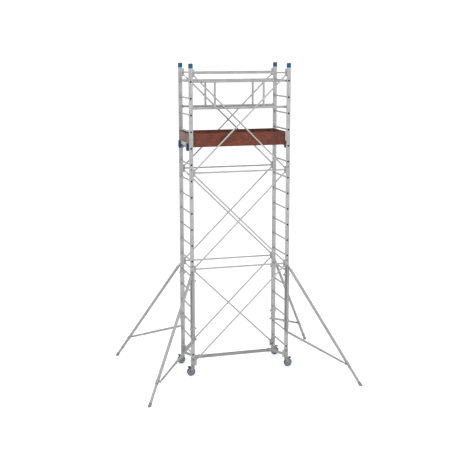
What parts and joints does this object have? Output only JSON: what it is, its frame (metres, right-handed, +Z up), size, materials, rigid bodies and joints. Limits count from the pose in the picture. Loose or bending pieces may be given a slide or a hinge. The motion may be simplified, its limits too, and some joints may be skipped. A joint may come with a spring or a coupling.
{
  "type": "mobile tower scaffold",
  "caption": "Narrow aluminium mobile access tower on castors, with ladder end frames, braces, a guarded platform and splayed outrigger stabilisers.",
  "frame": {"origin": "on the floor, in the middle of the rectangle that the four stabiliser feet span; the middle of the tower itself is at x = 0.0758 m, y = 0.2838 m", "axes": "+X along the long side of the tower to the right, +Y from the front to the rear, +Z up"},
  "size_m": [3.826, 2.9413, 5.447],
  "materials": {
    "aluminium": "mill-finished extrusion",
    "black_plastic": "moulded",
    "blue_plastic": "moulded",
    "castor_wheel": "grey tread on a blue-grey hub",
    "dark_steel": "dark passivated",
    "galvanised_steel": "zinc plated",
    "phenolic_board": "film-faced plywood",
    "rung_aluminium": "ribbed mill-finished tube",
    "stabiliser_aluminium": "mill-finished tube, a little duller"
  },
  "bodies": {
    "tower": {"base_spine": "aluminium", "base_fork_left": "aluminium", "base_fork_right": "aluminium", "ladder_frame_left_low": "rung_aluminium", "ladder_frame_left_mid": "rung_aluminium", "ladder_frame_left_top": "rung_aluminium", "ladder_frame_right_low": "rung_aluminium", "ladder_frame_right_mid": "rung_aluminium", "ladder_frame_right_top": "rung_aluminium", "frame_spigots": "dark_steel", "frame_pins": "dark_steel", "rung_plugs": "black_plastic", "post_caps": "blue_plastic", "horizontal_braces": "aluminium", "diagonal_braces": "aluminium", "brace_plates": "dark_steel", "guard_frame_front": "aluminium", "guard_frame_rear": "aluminium", "platform_frame": "aluminium", "platform_hooks": "blue_plastic", "deck_board": "phenolic_board", "hatch_hinges": "galvanised_steel", "toe_boards": "phenolic_board", "toe_clips": "galvanised_steel", "stabiliser_channels": "stabiliser_aluminium", "stabiliser_clamps": "dark_steel"},
    "trapdoor": {"hatch_panel": "phenolic_board"},
    "handle": {"hatch_handle": "galvanised_steel"},
    "castor_front_left": {"castor_fork_front_left": "galvanised_steel"},
    "wheel_front_left": {"castor_wheel_front_left": "castor_wheel"},
    "pedal_front_left": {"castor_pedal_front_left": "black_plastic"},
    "mast_front_left": {"stabiliser_mast_front_left": "stabiliser_aluminium"},
    "leg_front_left": {"stabiliser_leg_front_left": "stabiliser_aluminium"},
    "foot_front_left": {"stabiliser_foot_front_left": "stabiliser_aluminium"},
    "strut_front_left": {"strut_tube_front_left": "stabiliser_aluminium"},
    "rod_front_left": {"strut_rod_front_left": "stabiliser_aluminium"},
    "castor_front_right": {"castor_fork_front_right": "galvanised_steel"},
    "wheel_front_right": {"castor_wheel_front_right": "castor_wheel"},
    "pedal_front_right": {"castor_pedal_front_right": "black_plastic"},
    "mast_front_right": {"stabiliser_mast_front_right": "stabiliser_aluminium"},
    "leg_front_right": {"stabiliser_leg_front_right": "stabiliser_aluminium"},
    "foot_front_right": {"stabiliser_foot_front_right": "stabiliser_aluminium"},
    "strut_front_right": {"strut_tube_front_right": "stabiliser_aluminium"},
    "rod_front_right": {"strut_rod_front_right": "stabiliser_aluminium"},
    "castor_rear_left": {"castor_fork_rear_left": "galvanised_steel"},
    "wheel_rear_left": {"castor_wheel_rear_left": "castor_wheel"},
    "pedal_rear_left": {"castor_pedal_rear_left": "black_plastic"},
    "mast_rear_left": {"stabiliser_mast_rear_left": "stabiliser_aluminium"},
    "leg_rear_left": {"stabiliser_leg_rear_left": "stabiliser_aluminium"},
    "foot_rear_left": {"stabiliser_foot_rear_left": "stabiliser_aluminium"},
    "strut_rear_left": {"strut_tube_rear_left": "stabiliser_aluminium"},
    "rod_rear_left": {"strut_rod_rear_left": "stabiliser_aluminium"},
    "castor_rear_right": {"castor_fork_rear_right": "galvanised_steel"},
    "wheel_rear_right": {"castor_wheel_rear_right": "castor_wheel"},
    "pedal_rear_right": {"castor_pedal_rear_right": "black_plastic"},
    "mast_rear_right": {"stabiliser_mast_rear_right": "stabiliser_aluminium"},
    "leg_rear_right": {"stabiliser_leg_rear_right": "stabiliser_aluminium"},
    "foot_rear_right": {"stabiliser_foot_rear_right": "stabiliser_aluminium"},
    "strut_rear_right": {"strut_tube_rear_right": "stabiliser_aluminium"},
    "rod_rear_right": {"strut_rod_rear_right": "stabiliser_aluminium"}
  },
  "joints": [
    {"name": "trapdoor_hinge", "type": "hinge", "parent": "tower", "child": "trapdoor", "pos_m": [0.48581, 0.49381, 4.1305], "axis": [-1, 0, 0], "range_deg": [0, 90]},
    {"name": "handle_hinge", "type": "hinge", "parent": "trapdoor", "child": "handle", "pos_m": [0.48581, 0.14381, 4.1293], "axis": [-1, 0, 0], "range_deg": [0, 90]},
    {"name": "castor_swivel_front_left", "type": "hinge", "parent": "tower", "child": "castor_front_left", "pos_m": [-0.79719, -0.07619, 0.17], "axis": [0, 0, 1], "continuous": true},
    {"name": "wheel_spin_front_left", "type": "hinge", "parent": "castor_front_left", "child": "wheel_front_left", "pos_m": [-0.83219, -0.07619, 0.075], "axis": [0, 1, 0], "continuous": true},
    {"name": "brake_pedal_front_left", "type": "hinge", "parent": "castor_front_left", "child": "pedal_front_left", "pos_m": [-0.85319, -0.07619, 0.158], "axis": [0, -1, 0], "range_deg": [0, 8]},
    {"name": "mast_swing_front_left", "type": "hinge", "parent": "tower", "child": "mast_front_left", "pos_m": [-0.79719, -0.11819, 1.807], "axis": [0, 0, 1], "range_deg": [-39.5, 30.5]},
    {"name": "leg_lift_front_left", "type": "hinge", "parent": "mast_front_left", "child": "leg_front_left", "pos_m": [-0.81343, -0.1372, 1.869], "axis": [-0.7604, 0.6494, 0], "range_deg": [0, 10]},
    {"name": "foot_slide_front_left", "type": "slide", "parent": "leg_front_left", "child": "foot_front_left", "axis": [-0.4251, -0.4977, -0.756], "range_m": [-0.3181, 0]},
    {"name": "strut_tilt_front_left", "type": "hinge", "parent": "mast_front_left", "child": "strut_front_left", "pos_m": [-0.77866, -0.17347, 0.684], "axis": [-0.7604, 0.6494, 0], "range_deg": [0, 11.31]},
    {"name": "strut_slide_front_left", "type": "slide", "parent": "strut_front_left", "child": "rod_front_left", "axis": [-0.6284, -0.7358, -0.2523], "range_m": [0, 0.20411]},
    {"name": "castor_swivel_front_right", "type": "hinge", "parent": "tower", "child": "castor_front_right", "pos_m": [0.94881, -0.07619, 0.17], "axis": [0, 0, 1], "continuous": true},
    {"name": "wheel_spin_front_right", "type": "hinge", "parent": "castor_front_right", "child": "wheel_front_right", "pos_m": [0.98381, -0.07619, 0.075], "axis": [0, 1, 0], "continuous": true},
    {"name": "brake_pedal_front_right", "type": "hinge", "parent": "castor_front_right", "child": "pedal_front_right", "pos_m": [1.00481, -0.07619, 0.158], "axis": [0, 1, 0], "range_deg": [0, 8]},
    {"name": "mast_swing_front_right", "type": "hinge", "parent": "tower", "child": "mast_front_right", "pos_m": [0.94881, -0.11819, 1.807], "axis": [0, 0, 1], "range_deg": [-23.6, 46.4]},
    {"name": "leg_lift_front_right", "type": "hinge", "parent": "mast_front_right", "child": "leg_front_right", "pos_m": [0.96264, -0.13901, 1.869], "axis": [-0.8329, -0.5534, 0], "range_deg": [0, 10]},
    {"name": "foot_slide_front_right", "type": "slide", "parent": "leg_front_right", "child": "foot_front_right", "axis": [0.355, -0.5343, -0.7671], "range_m": [-0.2824, 0]},
    {"name": "strut_tilt_front_right", "type": "hinge", "parent": "mast_front_right", "child": "strut_front_right", "pos_m": [0.92376, -0.17084, 0.684], "axis": [-0.8329, -0.5534, 0], "range_deg": [0, 11.4]},
    {"name": "strut_slide_front_right", "type": "slide", "parent": "strut_front_right", "child": "rod_front_right", "axis": [0.5347, -0.8047, -0.2579], "range_m": [0, 0.20394]},
    {"name": "castor_swivel_rear_left", "type": "hinge", "parent": "tower", "child": "castor_rear_left", "pos_m": [-0.79719, 0.64381, 0.17], "axis": [0, 0, 1], "continuous": true},
    {"name": "wheel_spin_rear_left", "type": "hinge", "parent": "castor_rear_left", "child": "wheel_rear_left", "pos_m": [-0.83219, 0.64381, 0.075], "axis": [0, 1, 0], "continuous": true},
    {"name": "brake_pedal_rear_left", "type": "hinge", "parent": "castor_rear_left", "child": "pedal_rear_left", "pos_m": [-0.85319, 0.64381, 0.158], "axis": [0, -1, 0], "range_deg": [0, 8]},
    {"name": "mast_swing_rear_left", "type": "hinge", "parent": "tower", "child": "mast_rear_left", "pos_m": [-0.79719, 0.68581, 1.807], "axis": [0, 0, 1], "range_deg": [-45.2, 24.8]},
    {"name": "leg_lift_rear_left", "type": "hinge", "parent": "mast_rear_left", "child": "leg_rear_left", "pos_m": [-0.81772, 0.70008, 1.869], "axis": [0.5707, 0.8211, 0], "range_deg": [0, 10]},
    {"name": "foot_slide_rear_left", "type": "slide", "parent": "leg_rear_left", "child": "foot_rear_left", "axis": [-0.4684, 0.3255, -0.8214], "range_m": [-0.1215, 0]},
    {"name": "strut_tilt_rear_left", "type": "hinge", "parent": "mast_rear_left", "child": "strut_rear_left", "pos_m": [-0.79329, 0.74399, 0.684], "axis": [0.5707, 0.8211, 0], "range_deg": [0, 11.95]},
    {"name": "strut_slide_rear_left", "type": "slide", "parent": "strut_rear_left", "child": "rod_rear_left", "axis": [-0.7858, 0.5461, -0.2903], "range_m": [0, 0.20289]},
    {"name": "castor_swivel_rear_right", "type": "hinge", "parent": "tower", "child": "castor_rear_right", "pos_m": [0.94881, 0.64381, 0.17], "axis": [0, 0, 1], "continuous": true},
    {"name": "wheel_spin_rear_right", "type": "hinge", "parent": "castor_rear_right", "child": "wheel_rear_right", "pos_m": [0.98381, 0.64381, 0.075], "axis": [0, 1, 0], "continuous": true},
    {"name": "brake_pedal_rear_right", "type": "hinge", "parent": "castor_rear_right", "child": "pedal_rear_right", "pos_m": [1.00481, 0.64381, 0.158], "axis": [0, 1, 0], "range_deg": [0, 8]},
    {"name": "mast_swing_rear_right", "type": "hinge", "parent": "tower", "child": "mast_rear_right", "pos_m": [0.94881, 0.68581, 1.807], "axis": [0, 0, 1], "range_deg": [-27.1, 42.9]},
    {"name": "leg_lift_rear_right", "type": "hinge", "parent": "mast_rear_right", "child": "leg_rear_right", "pos_m": [0.96875, 0.70089, 1.869], "axis": [0.6032, -0.7976, 0], "range_deg": [0, 10]},
    {"name": "foot_slide_rear_right", "type": "slide", "parent": "leg_rear_right", "child": "foot_rear_right", "axis": [0.4172, 0.3155, -0.8523], "range_m": [-0.0389, 0]},
    {"name": "strut_tilt_rear_right", "type": "hinge", "parent": "mast_rear_right", "child": "strut_rear_right", "pos_m": [0.94257, 0.74379, 0.684], "axis": [0.6032, -0.7976, 0], "range_deg": [0, 12.42]},
    {"name": "strut_slide_rear_right", "type": "slide", "parent": "strut_rear_right", "child": "rod_rear_right", "axis": [0.7571, 0.5726, -0.3146], "range_m": [0, 0.202]}
  ],
  "couplings": [
    {"joint": "strut_tilt_front_left", "follows": "leg_lift_front_left", "ratio": 1.1293},
    {"joint": "strut_slide_front_left", "follows": "leg_lift_front_left", "m_per_rad": 1.1683},
    {"joint": "strut_tilt_front_right", "follows": "leg_lift_front_right", "ratio": 1.1379},
    {"joint": "strut_slide_front_right", "follows": "leg_lift_front_right", "m_per_rad": 1.1674},
    {"joint": "strut_tilt_rear_left", "follows": "leg_lift_rear_left", "ratio": 1.1933},
    {"joint": "strut_slide_rear_left", "follows": "leg_lift_rear_left", "m_per_rad": 1.1613},
    {"joint": "strut_tilt_rear_right", "follows": "leg_lift_rear_right", "ratio": 1.2402},
    {"joint": "strut_slide_rear_right", "follows": "leg_lift_rear_right", "m_per_rad": 1.1563}
  ]
}
